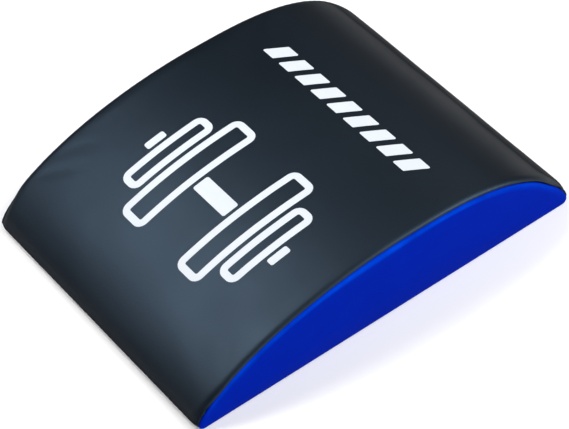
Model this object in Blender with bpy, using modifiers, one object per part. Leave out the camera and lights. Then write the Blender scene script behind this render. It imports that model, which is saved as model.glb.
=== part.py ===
"""Ab mat: a moulded foam wedge in a sewn vinyl cover, closed by a coil zip across its underside.

Metres, +Z up. X runs across the mat, +Y towards its thick end, and the origin is on the floor below its middle.
"""

import math

import bmesh
import bpy
import numpy as np
from mathutils import Vector

# Overall size
length = 0.381
width = 0.305
height = 0.075
crest_share = 0.556

# Side profile: how full each slope is, and how steeply it leaves the floor
front_fullness = 1.966
front_steepness = 1.238
rear_fullness = 2.956
rear_steepness = 1.213
tip_radius = 0.004

# Vinyl panels and their seams
vinyl = 0.001
gap = 0.0003
seam_roll = 0.0018
shoulder_radius = 0.0016
lip_radius = 0.0013
shoulder_run = 0.030
lip_lag = 5
allowance = 0.006
fold_room = 0.0006
side_crown = 0.0025
crown_fullness = 2.2
draw_in = 0.0008
draw_band = 0.012
corner_width = 0.010
corner_radius = 0.0125
corner_band = 0.035

# Foam core
foam_tip_inset = 0.013
plateau_step = 0.003

# Zip: its place, tapes and coils
zip_inset = 0.076
slot_room = 0.0004
hem_width = 0.007
ramp_run = 0.012
tape_width = 0.0126
tape_thickness = 0.0006
tape_spacing = 0.0038
coil_thickness = 0.0014
coil_half_width = 0.003
coil_root = 0.0008
coil_pitch = 0.0022
coil_head = 0.00082
coil_neck = 0.0006
coil_reach = 0.0006

# Zip slider
slider_length = 0.011
slider_nose_width = 0.0102
slider_tail_width = 0.0084
slider_plate = 0.0009
slider_edge = 0.0002
slider_corner = 0.0011
slider_end_room = 0.004
slider_joint_share = 0.6
wall_setback = 0.0016
wall_length = 0.0043
wall_inset = 0.0003
post_width = 0.003
post_length = 0.0038
post_setback = 0.0005
post_corner = 0.0003
bridge_length = 0.0072
bridge_width = 0.0016
bridge_thickness = 0.0008
bridge_room = 0.0019
bridge_corner = 0.0012

# Zip pull
pull_length = 0.021
pull_thickness = 0.0011
pull_eye_width = 0.0054
pull_neck_width = 0.0042
pull_end_width = 0.0062
pull_corner = 0.0014
pull_window_length = 0.0039
pull_window_width = 0.0027
pull_hole_length = 0.007
pull_hole_width = 0.0024
pull_hole_inset = 0.0022
floor_clearance = 0.0004
foam_clearance = 0.0005

# Fineness of the curved faces
profile_steps = 600
arc_steps = 24
panel_rows = 40
row_gather_share = 0.65
bend_share = 0.6
roll_steps = 3
lip_steps = 2
turn_steps = 4
ramp_steps = 6
corner_steps = 3
face_ring_shares = (0.93, 0.80, 0.62, 0.36)
foam_ring_shares = (0.5, 1.0)
probe_share = 0.0002
cut_overrun = 0.01
weld_distance = 0.000001
sharp_angle = math.radians(35)

# Places that several pieces share, worked out from the sizes above
fold_radius = vinyl + fold_room / 2
rim_x = width / 2 - side_crown
seam_x = rim_x - 2 * fold_radius - gap
zip_y = length / 2 - zip_inset
pivot_z = floor_clearance + bridge_thickness + bridge_room / 2
plate_z = floor_clearance + bridge_thickness + bridge_room
coil_z = plate_z + slider_plate + gap
tape_z = coil_z + coil_thickness + gap
back_plate_z = tape_z + tape_thickness + gap
hem_lift = tape_z - gap - 2 * fold_radius
tape_edge = tape_spacing / 2 + tape_width
slot_half = slider_nose_width / 2 + slot_room + fold_radius
tape_half = seam_x - seam_roll - gap
slider_x = tape_half - slider_length / 2 - slider_end_room
post_tip = slider_length / 2 - post_setback - post_length
corner_start = rim_x - corner_width
flange_depth = seam_roll + allowance
lip_depth = shoulder_radius + lip_radius
seam_drop = draw_in + lip_depth + gap


def start_afresh():
    """Empties the scene and makes the collections for the mat and for its cutters."""
    for thing in list(bpy.data.objects):
        bpy.data.objects.remove(thing, do_unlink=True)
    groups = []
    for name in ("ab_mat", "cutters"):
        group = bpy.data.collections.new(name)
        bpy.context.scene.collection.children.link(group)
        groups.append(group)
    return groups


def material(name, colour, roughness, metallic=0.0):
    surface = bpy.data.materials.new(name)
    surface.use_nodes = True
    shader = surface.node_tree.nodes["Principled BSDF"]
    shader.inputs["Base Color"].default_value = (*colour, 1.0)
    shader.inputs["Roughness"].default_value = roughness
    shader.inputs["Metallic"].default_value = metallic
    surface.diffuse_color = (*colour, 1.0)
    return surface


def place_mesh(name, mesh, group, surface=None, place=(0, 0, 0)):
    thing = bpy.data.objects.new(name, mesh)
    thing.location = place
    group.objects.link(thing)
    if surface:
        mesh.materials.append(surface)
    mesh.shade_smooth()
    mesh.set_sharp_from_angle(angle=sharp_angle)
    return thing


def finish_bmesh(shape, name):
    mesh = bpy.data.meshes.new(name)
    shape.to_mesh(mesh)
    shape.free()
    return mesh


def round_corners(shape):
    """Draws the mat's four corners in, so that each is an arc when seen from above."""
    for vert in shape.verts:
        x, y, _ = vert.co
        reach = min(max(abs(x) - corner_start, 0), corner_width)
        drawn = corner_radius - math.sqrt(corner_radius ** 2 - reach ** 2)
        share = min(max((abs(y) - (length / 2 - corner_band)) / corner_band, 0), 1)
        vert.co.y -= math.copysign(drawn * share * share * (3 - 2 * share), y)


class Outline:
    """A closed outline in the YZ plane, read by the distance along it, with its inside on the right."""

    def __init__(self, points):
        self.points = np.vstack([points, points[:1]])
        steps = np.linalg.norm(np.diff(self.points, axis=0), axis=1)
        self.stations = np.concatenate([[0.0], np.cumsum(steps)])
        self.total = self.stations[-1]

    def at(self, distance):
        distance = distance % self.total
        return np.array([np.interp(distance, self.stations, self.points[:, k]) for k in range(2)])

    def tangent(self, distance):
        probe = self.total * probe_share
        step = self.at(distance + probe) - self.at(distance - probe)
        return step / np.linalg.norm(step)

    def normal(self, distance):
        along = self.tangent(distance)
        return np.array([-along[1], along[0]])


def slope_curve():
    """Upper face from the low tip over the crest to the high tip, before the tips are rounded."""
    turn = np.linspace(0, math.pi / 2, profile_steps)
    crest = crest_share * length
    front_y = -length / 2 + crest * (1 - np.sin(turn) ** (2 / front_fullness))
    front_z = height * np.cos(turn) ** front_steepness
    rear_y = -length / 2 + crest + (length - crest) * np.sin(turn) ** (2 / rear_fullness)
    rear_z = height * np.cos(turn) ** rear_steepness
    front = np.column_stack([front_y, front_z])[::-1]
    rear = np.column_stack([rear_y, rear_z])[1:]
    return np.vstack([front, rear])


def tip_arc(curve, floor_angle):
    """The arc that joins the floor to the curve's first point that it can touch, and that point's number."""
    along = np.gradient(curve, axis=0)
    along /= np.linalg.norm(along, axis=1)[:, None]
    outward = np.column_stack([-along[:, 1], along[:, 0]]) * np.sign(curve[-1, 0] - curve[0, 0])
    centres = curve - tip_radius * outward
    first = int(np.argmax(centres[:, 1] >= tip_radius))
    centre = np.array([centres[first, 0], tip_radius])
    touch = math.atan2(outward[first, 1], outward[first, 0]) % (2 * math.pi)
    angles = np.linspace(touch, floor_angle, 2 * arc_steps + 1)
    arc = centre + tip_radius * np.column_stack([np.cos(angles), np.sin(angles)])
    return arc, first


def mat_outline():
    """The mat seen from its side. Distance 0 is the low seam, and the outline runs over the top first."""
    curve = slope_curve()
    low_arc, low_first = tip_arc(curve, math.pi * 3 / 2)
    high_arc, high_first = tip_arc(curve[::-1], -math.pi / 2)
    slope = curve[low_first:len(curve) - high_first]
    pieces = (
        low_arc[arc_steps::-1],
        slope[1:-1],
        high_arc[:arc_steps + 1],
        high_arc[arc_steps + 1:],
        low_arc[:arc_steps:-1],
    )
    points = np.vstack(pieces)
    span = np.ptp(points[:, 0])
    points[:, 0] = (points[:, 0] - points[:, 0].min()) * length / span - length / 2
    outline = Outline(points)
    counts = np.cumsum([len(piece) for piece in pieces])
    outline.slope_start = outline.stations[counts[0] - 1]
    outline.slope_end = outline.stations[counts[1]]
    outline.high_seam = outline.stations[counts[2] - 1]
    outline.floor_start = outline.stations[counts[3] - 1]
    outline.floor_end = outline.stations[counts[3]]
    return outline


def shoulder_share(outline, distance):
    """How much of a shoulder the cover has: none at the tips, and all of it a little way up each slope."""
    share = min(max(min(distance, outline.high_seam - distance) / shoulder_run, 0), 1)
    return share * share * (3 - 2 * share)


def clear_span(outline):
    """The stretch of Y where the mat is high enough for the upper and the lower seam allowances."""
    needed = 2 * (flange_depth + gap) + seam_drop
    high = outline.points[outline.points[:, 1] >= needed]
    return high[:, 0].min(), high[:, 0].max()


class Row:
    """One line of a panel across the mat: a point of its path, the way out of it, and the stretch it begins.

    It also says how much of a shoulder the panel has here, and how deep its side allowances may reach.
    """

    def __init__(self, point, outward, stretch, shoulder=0.0, room=flange_depth):
        self.point = np.array(point)
        self.outward = np.array(outward)
        self.stretch = stretch
        self.shoulder = shoulder
        self.room = room


def seam_rows(outline, seam, way):
    """Rows that turn a panel into an end seam, from its raw edge out, and where the panel leaves the outline.

    The panel lies on the side of the seam that way points to: 1 along the outline, -1 against it.
    """
    seam_point = outline.at(seam)
    facing = outline.normal(seam)
    along = way * outline.tangent(seam)
    far = 3 * (seam_roll + tip_radius)
    for leave in np.linspace(0, far, profile_steps):
        here = seam + way * leave
        centre = outline.at(here) - seam_roll * outline.normal(here)
        if np.dot(centre - seam_point, along) >= seam_roll + gap / 2:
            break
    outward = outline.normal(here)
    start = math.atan2(outward[1], outward[0])
    swing = math.atan2(outward[1] * along[0] - outward[0] * along[1], -np.dot(outward, along))
    rows = []
    for step in range(turn_steps, 0, -1):
        angle = start + swing * step / turn_steps
        ray = np.array([math.cos(angle), math.sin(angle)])
        rows.append(Row(centre + seam_roll * ray, ray, "turn"))
    raw_edge = rows[0].point - allowance * facing
    rows.insert(0, Row(raw_edge, -along, "flange"))
    return rows, leave


def columns(shouldered):
    """Places across a panel as they are at its ends, the same with full shoulders, and the stretches between.

    A place is its x and how deep it lies below the mat's outline, from the left side seam to the right one.
    """
    flat_end = seam_x - seam_roll
    turns = [math.pi / 2 * step / roll_steps for step in range(1, roll_steps + 1)]
    plain = [(corner_start, 0.0), (flat_end, 0.0)]
    plain += [(flat_end + seam_roll * math.sin(turn), seam_roll * (1 - math.cos(turn))) for turn in turns]
    stretches = ["flat"] + ["round"] * (roll_steps - 1) + ["roll"]
    full = list(plain)
    if shouldered:
        top_x = rim_x - shoulder_radius
        lip_x = rim_x - lip_radius
        lip_z = draw_in + shoulder_radius
        bend_x = corner_start + (top_x - corner_start) * bend_share
        flats = (top_x - draw_band, corner_start, bend_x, top_x)
        full = [(x, draw_in * (1 - (top_x - x) / draw_band) ** 2) for x in flats]
        for turn in turns:
            full.append((top_x + shoulder_radius * math.sin(turn), lip_z - shoulder_radius * math.cos(turn)))
        plain.insert(1, (corner_start + (flat_end - corner_start) * bend_share, 0.0))
        plain.insert(0, (flat_end - draw_band, 0.0))
        for step in range(1, lip_steps + 1):
            turn = math.pi / 2 * step / lip_steps
            full.append((lip_x + lip_radius * math.cos(turn), lip_z + lip_radius * math.sin(turn)))
            plain.append((seam_x, seam_roll + lip_radius * step / (lip_steps + 1)))
        full.append((seam_x, draw_in + lip_depth))
        plain.append((seam_x, seam_roll + lip_radius))
        stretches = ["flat", "flat"] + stretches + ["lip"] * (lip_steps + 1)
    for half in (plain, full):
        half.append((seam_x, flange_depth))
        half[:0] = [(-x, depth) for x, depth in reversed(half)]
    stretches.append("flange")
    return np.array(plain), np.array(full), stretches[::-1] + ["flat"] + stretches


def is_kept(row, next_row, stretch, span):
    """Whether a panel has cloth here: allowances are clipped at the corners, so that they don't pile up."""
    if row.stretch in ("flange", "fold"):
        return stretch == "flat"
    if row.stretch == "turn":
        return stretch in ("flat", "round")
    if row.stretch == "hem":
        return stretch != "flange"
    ends = sorted((row.point[0], next_row.point[0]))
    return stretch != "flange" or span is None or (ends[0] >= span[0] and ends[1] <= span[1])


def wrapped_panel(name, rows, span, shouldered, group, surface):
    """A panel swept across the mat along its rows, turned down at both side seams, and given its thickness."""
    plain, full, stretches = columns(shouldered)
    shape = bmesh.new()
    made = {}

    def corner(i, j):
        if (i, j) not in made:
            x, depth = plain[j] + rows[i].shoulder * (full[j] - plain[j])
            y, z = rows[i].point - min(depth, rows[i].room) * rows[i].outward
            made[i, j] = shape.verts.new((x, y, z))
        return made[i, j]

    for i in range(len(rows) - 1):
        for j, stretch in enumerate(stretches):
            if is_kept(rows[i], rows[i + 1], stretch, None if shouldered else span):
                shape.faces.new((corner(i, j), corner(i, j + 1), corner(i + 1, j + 1), corner(i + 1, j)))
    round_corners(shape)
    panel = place_mesh(name, finish_bmesh(shape, name), group, surface)
    thicken(panel)
    return panel


def thicken(panel):
    solidify = panel.modifiers.new("vinyl", "SOLIDIFY")
    solidify.thickness = vinyl
    solidify.offset = -1
    solidify.use_even_offset = True
    solidify.use_quality_normals = True


def cover_distances(outline):
    """Places along the outline where the top cover's flat faces meet, closer together towards both ends."""
    start = seam_rows(outline, 0.0, 1)[1]
    end = outline.high_seam - seam_rows(outline, outline.high_seam, -1)[1]
    share = np.linspace(0, 1, panel_rows + 1)
    share -= row_gather_share * np.sin(2 * math.pi * share) / (2 * math.pi)
    return start + (end - start) * share


def top_cover(outline, span, group, surface):
    rows = seam_rows(outline, 0.0, 1)[0]
    high_rows = seam_rows(outline, outline.high_seam, -1)[0]
    for distance in cover_distances(outline):
        share = shoulder_share(outline, distance)
        place = outline.at(distance)
        room = flange_depth
        if not span[0] <= place[0] <= span[1]:
            room = max(seam_roll + lip_radius, seam_drop * share + fold_radius) + 2 * gap
        rows.append(Row(place, outline.normal(distance), "face", share ** lip_lag, room))
    rows[-1].stretch = "turn"
    rows += reversed_rows(high_rows)
    return wrapped_panel("top_cover", rows, span, True, group, surface)


def hem_rows(way, edge_y):
    """Rows of a base panel's zipped edge: up the ramp, along under the tape, and folded back over itself."""
    rows = []
    ramp_end = tape_edge + vinyl
    for step in range(ramp_steps + 1):
        share = step / ramp_steps
        y = edge_y - way * (ramp_end - slot_half + ramp_run * (1 - share))
        z = hem_lift * (1 - math.cos(math.pi * share)) / 2
        rise = math.atan2(hem_lift * math.pi / 2 * math.sin(math.pi * share), ramp_run)
        rows.append(Row((y, z), (way * math.sin(rise), -math.cos(rise)), "hem"))
    for step in range(turn_steps + 1):
        angle = math.pi * step / turn_steps
        ray = np.array([way * math.sin(angle), -math.cos(angle)])
        rows.append(Row(np.array([edge_y, hem_lift + fold_radius]) + fold_radius * ray, ray, "fold"))
    rows.append(Row((edge_y - way * hem_width, hem_lift + 2 * fold_radius), (0, 1), "fold"))
    return rows


def base_panel(name, outline, seam, way, span, group, surface):
    """The underside from an end seam to the zip. The panel runs from its seam towards Y the way it is given."""
    rows, leave = seam_rows(outline, seam, -way)
    bend = outline.total - outline.floor_end if way > 0 else outline.floor_start - outline.high_seam
    floor_y = outline.at(seam - way * max(leave, bend))[0]
    if bend - leave > vinyl:
        for distance in np.linspace(leave, bend, roll_steps + 1)[:-1]:
            here = seam - way * distance
            rows.append(Row(outline.at(here), outline.normal(here), "face"))
    hem = hem_rows(way, zip_y - way * slot_half)
    flat_end = hem[0].point[0]
    stops = [floor_y, flat_end]
    clipped = span[0] if way > 0 else span[1]
    if min(stops) + vinyl < clipped < max(stops) - vinyl:
        stops.insert(1, clipped)
    rows += [Row((y, 0.0), (0, -1), "face") for y in stops[:-1]] + hem
    if way > 0:
        rows = reversed_rows(rows)
    return wrapped_panel(name, rows, span, False, group, surface)


def reversed_rows(rows):
    """The same rows from the other end, each again naming the stretch that it begins."""
    turned = rows[::-1]
    stretches = [row.stretch for row in rows]
    begun = [stretches[k - 1] for k in range(len(rows) - 1, 0, -1)] + [stretches[0]]
    for row, stretch in zip(turned, begun):
        row.stretch = stretch
    return turned


def ring_distances(outline):
    """Places round the outline for a side panel: the cover's own on the slopes, and wide apart on the floor."""
    slope = cover_distances(outline)
    tip = roll_steps + 1
    stretches = (
        (slope[-1], outline.floor_start, 2 * tip),
        (outline.floor_start, outline.floor_end, panel_rows // 3),
        (outline.floor_end, outline.total, tip),
    )
    parts = [np.linspace(start, end, count + 1)[:-1] for start, end, count in stretches]
    return np.concatenate([np.linspace(0, slope[0], tip)[:-1], slope[:-1]] + parts)


def crown_x(share):
    """How far out a side panel's face is, at a share of the way from its middle to its rim."""
    return rim_x + side_crown * (1 - share ** crown_fullness)


def panel_middle():
    return np.array([0.0, height * crest_share * 2 / 3])


def side_panel(name, side, outline, span, group, surface):
    """A crowned D-shaped panel whose rim lies under the cover's shoulder, rolls over and folds back."""
    distances = ring_distances(outline)
    outwards = np.array([outline.normal(distance) for distance in distances])
    drops = [seam_drop * shoulder_share(outline, distance) for distance in distances]
    points = np.array([outline.at(distance) for distance in distances]) - np.array(drops)[:, None] * outwards
    rings = [(rim_x - 2 * fold_radius, points - (fold_radius + allowance) * outwards)]
    for step in range(turn_steps + 1):
        angle = math.pi * step / turn_steps
        depth = fold_radius * (1 - math.sin(angle))
        rings.append((rim_x - fold_radius * (1 + math.cos(angle)), points - depth * outwards))
    rim = rings[-1][1]
    middle = panel_middle()
    for share in face_ring_shares:
        rings.append((crown_x(share), middle + share * (rim - middle)))
    shape = bmesh.new()
    verts = [[shape.verts.new((side * x, y, z)) for y, z in ring] for x, ring in rings]
    count = len(points)
    for k in range(len(rings) - 1):
        for i in range(count):
            j = (i + 1) % count
            ends = points[[i, j], 0]
            if k == 0 and (ends.min() < span[0] or ends.max() > span[1]):
                continue
            corners = (verts[k][i], verts[k + 1][i], verts[k + 1][j], verts[k][j])
            shape.faces.new(corners if side > 0 else corners[::-1])
    hub = shape.verts.new((side * crown_x(0), *middle))
    for i in range(count):
        corners = (verts[-1][i], hub, verts[-1][(i + 1) % count])
        shape.faces.new(corners if side > 0 else corners[::-1])
    loose = [vert for vert in shape.verts if not vert.link_faces]
    bmesh.ops.delete(shape, geom=loose, context="VERTS")
    round_corners(shape)
    panel = place_mesh(name, finish_bmesh(shape, name), group, surface)
    thicken(panel)
    return panel


def foam_section(outline, depth):
    """The core's outline at a depth under the cover, blunt at both tips to leave the end seams room.

    Its faces meet where the cover's do, so that the two stay parallel.
    """
    reach = length / 2 - foam_tip_inset
    distances = cover_distances(outline)
    outer = np.array([outline.at(distance) for distance in distances])
    inner = outer - depth * np.array([outline.normal(distance) for distance in distances])
    ends = np.interp((-reach, reach), inner[:, 0], inner[:, 1])
    kept = inner[np.abs(outer[:, 0]) < reach]
    floor_y = np.linspace(reach, -reach, panel_rows // 3)
    lower = np.column_stack([floor_y, np.full(len(floor_y), vinyl + gap)])
    return np.vstack([(-reach, ends[0]), kept, (reach, ends[1]), lower])


def foam_core(outline, group, surface):
    """The moulded wedge, a little narrower where the seams draw the cover in, with a crowned boss on each side."""
    under_cover = vinyl + gap
    flat_x = seam_x - vinyl - gap
    middle = panel_middle()
    boss_share = 1 - (flange_depth + gap + plateau_step) / middle[1]
    foot_share = boss_share + plateau_step / middle[1]
    full = foam_section(outline, under_cover)
    drawn = foam_section(outline, under_cover + draw_in + gap)
    half = [(seam_x - seam_roll - draw_band, full), (flat_x, drawn)]
    half.append((flat_x, middle + foot_share * (drawn - middle)))
    for share in reversed(foam_ring_shares):
        ring = middle + boss_share * share * (drawn - middle)
        half.append((crown_x(boss_share * share) - under_cover, ring))
    tip_x = crown_x(0) - under_cover
    rings = [(-x, ring) for x, ring in reversed(half)] + half
    shape = bmesh.new()
    verts = [[shape.verts.new((x, y, z)) for y, z in ring] for x, ring in rings]
    count = len(full)
    for k in range(len(rings) - 1):
        for i in range(count):
            j = (i + 1) % count
            shape.faces.new((verts[k][i], verts[k][j], verts[k + 1][j], verts[k + 1][i]))
    for x, ring in ((-tip_x, verts[0]), (tip_x, verts[-1])):
        hub = shape.verts.new((x, *middle))
        for i in range(count):
            shape.faces.new((ring[i], ring[(i + 1) % count], hub))
    round_corners(shape)
    bmesh.ops.recalc_face_normals(shape, faces=shape.faces)
    return place_mesh("foam_core", finish_bmesh(shape, "foam_core"), group, surface)


def rounded(corners):
    """A closed outline from corners given as (x, y, radius), each turned into an arc."""
    points = []
    for k, (x, y, radius) in enumerate(corners):
        here = Vector((x, y))
        before = (Vector(corners[k - 1][:2]) - here).normalized()
        after = (Vector(corners[(k + 1) % len(corners)][:2]) - here).normalized()
        half = before.angle(after) / 2
        centre = here + (before + after).normalized() * radius / math.sin(half)
        start = here + before * radius / math.tan(half) - centre
        end = here + after * radius / math.tan(half) - centre
        for step in range(corner_steps + 1):
            points.append(centre + start.lerp(end, step / corner_steps).normalized() * radius)
    return points


def flat_shape(name, outlines, thickness, group, place, turn=(0, 0, 0), edge=0.0, surface=None):
    """A plate from closed outlines, of which inner ones are holes, as a mesh with edges rounded by edge."""
    curve = bpy.data.curves.new(name, "CURVE")
    curve.dimensions = "2D"
    curve.fill_mode = "BOTH"
    curve.extrude = thickness / 2 - edge
    curve.bevel_depth = edge
    curve.bevel_resolution = 1
    curve.offset = -edge
    for outline in outlines:
        spline = curve.splines.new("POLY")
        spline.points.add(len(outline) - 1)
        for point, (x, y) in zip(spline.points, outline):
            point.co = (x, y, 0, 1)
        spline.use_cyclic_u = True
    drawn = bpy.data.objects.new(name, curve)
    group.objects.link(drawn)
    drawn.location = place
    drawn.rotation_euler = turn
    bpy.context.view_layer.update()
    mesh = bpy.data.meshes.new_from_object(drawn.evaluated_get(bpy.context.evaluated_depsgraph_get()))
    matrix = drawn.matrix_world.copy()
    bpy.data.objects.remove(drawn, do_unlink=True)
    shape = bmesh.new()
    shape.from_mesh(mesh)
    bmesh.ops.remove_doubles(shape, verts=shape.verts, dist=weld_distance)
    bmesh.ops.recalc_face_normals(shape, faces=shape.faces)
    shape.to_mesh(mesh)
    shape.free()
    thing = place_mesh(name, mesh, group, surface)
    thing.matrix_world = matrix
    return thing


def box(name, low, high, group, surface=None):
    shape = bmesh.new()
    bmesh.ops.create_cube(shape, size=1.0)
    middle = (Vector(low) + Vector(high)) / 2
    bmesh.ops.scale(shape, vec=Vector(high) - Vector(low), verts=shape.verts)
    return place_mesh(name, finish_bmesh(shape, name), group, surface, middle)


def combine(thing, other, operation):
    """Joins other to thing, or cuts it out, and hides other as a guide."""
    boolean = thing.modifiers.new(other.name, "BOOLEAN")
    boolean.operation = operation
    boolean.solver = "EXACT"
    boolean.object = other
    other.hide_render = True
    other.display_type = "WIRE"


def relieve_foam(foam, cutters):
    """Cuts the channel over the zip: wide over the hems and tapes, deeper where the slider runs."""
    foot = tape_edge + vinyl + ramp_run + foam_clearance
    shoulder = tape_edge + vinyl + foam_clearance
    slot = slider_nose_width / 2 + foam_clearance
    low = vinyl + gap
    ceiling = tape_z + tape_thickness + gap
    top = back_plate_z + slider_plate + foam_clearance
    half = [(foot, low - cut_overrun), (foot, low), (shoulder, ceiling), (slot, ceiling), (slot, top)]
    outline = [(-y, z) for y, z in half] + [(y, z) for y, z in reversed(half)]
    turn = (math.pi / 2, 0, math.pi / 2)
    channel = flat_shape("zip_channel", [outline], width + cut_overrun, cutters, (0, zip_y, 0), turn)
    combine(foam, channel, "DIFFERENCE")


def zip_tape(name, side, group, surface):
    inner = zip_y + side * tape_spacing / 2
    outer = zip_y + side * tape_edge
    low = (-tape_half, min(inner, outer), tape_z)
    high = (tape_half, max(inner, outer), tape_z + tape_thickness)
    return box(name, low, high, group, surface)


def zip_coil(name, side, shift_share, group, surface):
    """A flattened coil as a comb whose heads pass between those of the coil it faces."""
    start = -tape_half + coil_pitch
    end = slider_x + post_tip - coil_pitch / 2
    count = int((end - start) / coil_pitch)
    root_y = coil_half_width - coil_root
    outline = [(-tape_half, side * coil_half_width), (-tape_half, side * root_y)]
    for k in range(count):
        x = start + (k + shift_share) * coil_pitch
        outline.append((x - coil_neck / 2, side * root_y))
        outline.append((x - coil_head / 2, -side * coil_reach))
        outline.append((x + coil_head / 2, -side * coil_reach))
        outline.append((x + coil_neck / 2, side * root_y))
    outline += [(end, side * root_y), (end, side * coil_half_width)]
    place = (0, zip_y, coil_z + coil_thickness / 2)
    return flat_shape(name, [outline], coil_thickness, group, place, surface=surface)


def slider_plate_outline():
    back, front = -slider_length / 2, slider_length / 2
    tail, nose = slider_tail_width / 2, slider_nose_width / 2
    flare = front - slider_nose_width / 2
    right = [(back, -tail), (0, -tail), (flare, -nose), (front, -nose)]
    corners = right + [(x, -y) for x, y in reversed(right)]
    return rounded([(x, y, slider_corner) for x, y in corners])


def post_outline():
    front = post_tip + post_length
    corners = [(post_tip, 0), (front, -post_width / 2), (front, post_width / 2)]
    return rounded([(x, y, post_corner) for x, y in corners])


def bridge_outlines():
    """The arch that holds the pull, seen from the side, with the plate's underside at height 0."""
    half = bridge_length / 2
    drop = bridge_room + bridge_thickness
    sink = slider_plate * slider_joint_share
    outer = [(-half, sink), (-half, -drop), (half, -drop), (half, sink)]
    outer_radii = (post_corner, bridge_corner, bridge_corner, post_corner)
    inner_half = half - bridge_thickness
    ceiling = sink / 2
    inner = [(-inner_half, ceiling), (-inner_half, -bridge_room), (inner_half, -bridge_room), (inner_half, ceiling)]
    inner_radii = (post_corner, bridge_corner / 2, bridge_corner / 2, post_corner)
    return [
        rounded([(*corner, radius) for corner, radius in zip(outer, outer_radii)]),
        rounded([(*corner, radius) for corner, radius in zip(inner, inner_radii)]),
    ]


def zip_slider(group, cutters, surface):
    """Two plates joined by a wedge-shaped post, walls that guide the coils, and an arch that holds the pull."""
    place = Vector((slider_x, zip_y, plate_z))
    plate = slider_plate_outline()
    up = Vector((0, 0, 1))
    front = flat_shape("zip_slider", [plate], slider_plate, group, place + up * slider_plate / 2,
                       edge=slider_edge, surface=surface)
    back_z = back_plate_z - plate_z
    post_height = back_z + slider_plate
    post_sink = slider_plate * slider_joint_share
    post = flat_shape("slider_post", [post_outline()], post_height - 2 * (slider_plate - post_sink), cutters,
                      place + up * post_height / 2)
    back = flat_shape("slider_back_plate", [plate], slider_plate, cutters,
                      place + up * (back_z + slider_plate / 2), edge=slider_edge)
    combine(front, post, "UNION")
    combine(front, back, "UNION")
    inner = coil_half_width + gap
    outer = slider_tail_width / 2 - wall_inset
    start = wall_setback - slider_length / 2
    for side in (-1, 1):
        near, far = sorted((side * inner, side * outer))
        low = place + Vector((start, near, slider_plate - post_sink))
        high = place + Vector((start + wall_length, far, tape_z - gap - plate_z))
        combine(front, box("slider_wall", low, high, cutters), "UNION")
    bridge = flat_shape("slider_bridge", bridge_outlines(), bridge_width, cutters, place, (math.pi / 2, 0, 0))
    combine(front, bridge, "UNION")
    return front


def zip_pull(group, surface):
    """A flat tab whose end bar turns inside the slider's arch. It lies along the zip towards -X."""
    bar = pull_thickness / 2
    window_end = -bar - pull_window_length
    waist = (window_end - pull_length) / 2
    upper = [
        (bar, pull_eye_width / 2),
        (window_end, pull_eye_width / 2),
        (waist, pull_neck_width / 2),
        (-pull_length, pull_end_width / 2),
    ]
    corners = upper + [(x, -y) for x, y in reversed(upper)]
    window = [(-bar, pull_window_width / 2), (window_end, pull_window_width / 2)]
    window += [(x, -y) for x, y in reversed(window)]
    hole_end = pull_hole_inset - pull_length
    hole = [(hole_end + pull_hole_length, pull_hole_width / 2), (hole_end, pull_hole_width / 2)]
    hole += [(x, -y) for x, y in reversed(hole)]
    outlines = [
        rounded([(x, y, pull_corner) for x, y in corners]),
        rounded([(x, y, post_corner) for x, y in window]),
        rounded([(x, y, pull_hole_width / 2 - slider_edge) for x, y in hole]),
    ]
    place = (slider_x, zip_y, pivot_z)
    return flat_shape("zip_pull", outlines, pull_thickness, group, place, edge=slider_edge, surface=surface)


def build():
    group, cutters = start_afresh()
    black = material("black_vinyl", (0.016, 0.021, 0.027), 0.42)
    blue = material("blue_vinyl", (0.0, 0.02, 0.42), 0.45)
    base = material("base_vinyl", (0.013, 0.015, 0.018), 0.5)
    foam = material("foam", (0.09, 0.09, 0.095), 0.95)
    tape = material("zip_tape", (0.012, 0.012, 0.014), 0.9)
    nylon = material("zip_nylon", (0.02, 0.02, 0.022), 0.4)
    metal = material("zip_metal", (0.16, 0.16, 0.17), 0.35, 1.0)

    outline = mat_outline()
    span = clear_span(outline)
    core = foam_core(outline, group, foam)
    relieve_foam(core, cutters)
    top_cover(outline, span, group, black)
    for name, side in (("side_panel_right", 1), ("side_panel_left", -1)):
        side_panel(name, side, outline, span, group, blue)
    base_panel("base_panel_front", outline, outline.total, 1, span, group, base)
    base_panel("base_panel_rear", outline, outline.high_seam, -1, span, group, base)
    for name, side, shift_share in (("front", -1, 0.0), ("rear", 1, 0.5)):
        zip_tape("zip_tape_" + name, side, group, tape)
        zip_coil("zip_coil_" + name, side, shift_share, group, nylon)
    zip_slider(group, cutters, metal)
    zip_pull(group, metal)


build()
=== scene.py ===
"""Looks of the ab mat: sewn vinyl panels over moulded foam, a coil zip below, a plain floor and soft light.

Metres, +Z up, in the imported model's frame: X runs across the mat and +Y towards its thick end.
"""

import math
from dataclasses import dataclass

import bmesh
import bpy
import numpy as np
from mathutils import Matrix, Vector, noise


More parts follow.
